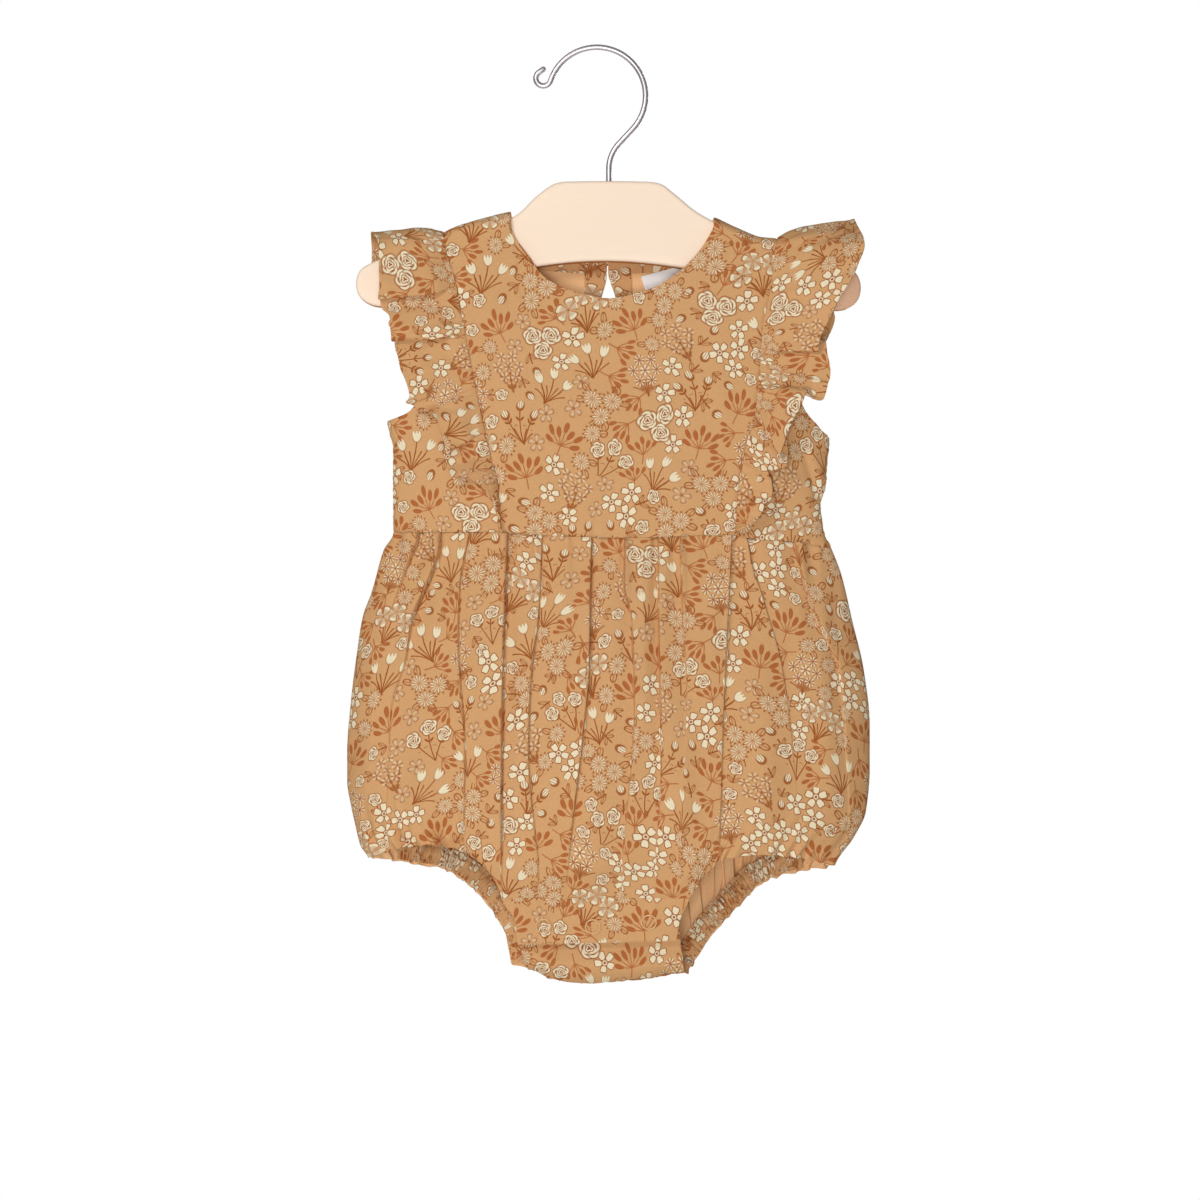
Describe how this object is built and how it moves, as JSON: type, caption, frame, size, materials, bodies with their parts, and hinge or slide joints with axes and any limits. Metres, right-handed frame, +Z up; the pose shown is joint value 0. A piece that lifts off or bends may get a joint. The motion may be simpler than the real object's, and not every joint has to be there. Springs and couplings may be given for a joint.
{
  "type": "baby romper on hanger",
  "caption": "Sleeveless printed cotton baby romper with flutter ruffles at the shoulders and a gathered bubble seat, hung flat on a small wooden hanger with a wire hook.",
  "frame": {"origin": "point inside the top of the hook's arc, on the middle plane, where the hook bears on a rail or peg", "axes": "+Z up along the hook's shank, -Y out of the romper's front, +X towards the side at the right as the front is looked at"},
  "size_m": [0.272, 0.0675, 0.4878],
  "materials": {
    "printed_cotton": "fine plain-weave cotton in warm tan with a small rust and cream flower print, matt, its wrong side a paler plain tan",
    "label_ribbon": "bare white woven ribbon with a soft sheen",
    "button_resin": "moulded tan resin, lightly polished",
    "snap_enamel": "tan enamel on a thin brass prong ring",
    "snap_steel": "plain stamped steel",
    "pale_wood": "pale peach satin lacquer over fine straight grain",
    "steel_wire": "bright plated steel wire"
  },
  "bodies": {
    "root": {"back_side_left": "printed_cotton", "back_side_right": "printed_cotton", "back_skirt": "printed_cotton", "back_yoke": "printed_cotton", "crotch_flap": "printed_cotton", "crotch_placket": "printed_cotton", "front_side_left": "printed_cotton", "front_side_right": "printed_cotton", "front_skirt": "printed_cotton", "front_yoke": "printed_cotton", "hanger_body": "pale_wood", "hanger_hook": "steel_wire", "keyhole_facing": "printed_cotton", "label": "label_ribbon", "leg_casing_back_left": "printed_cotton", "leg_casing_back_right": "printed_cotton", "leg_casing_front_left": "printed_cotton", "leg_casing_front_right": "printed_cotton", "nape_button": "button_resin", "nape_loop": "printed_cotton", "neck_facing_left": "printed_cotton", "neck_facing_right": "printed_cotton", "ruffle_left": "printed_cotton", "ruffle_right": "printed_cotton", "snap_ring_1": "snap_enamel", "snap_ring_2": "snap_enamel", "snap_ring_3": "snap_enamel", "snap_stud_1": "snap_steel", "snap_stud_2": "snap_steel", "snap_stud_3": "snap_steel"}
  },
  "joints": []
}
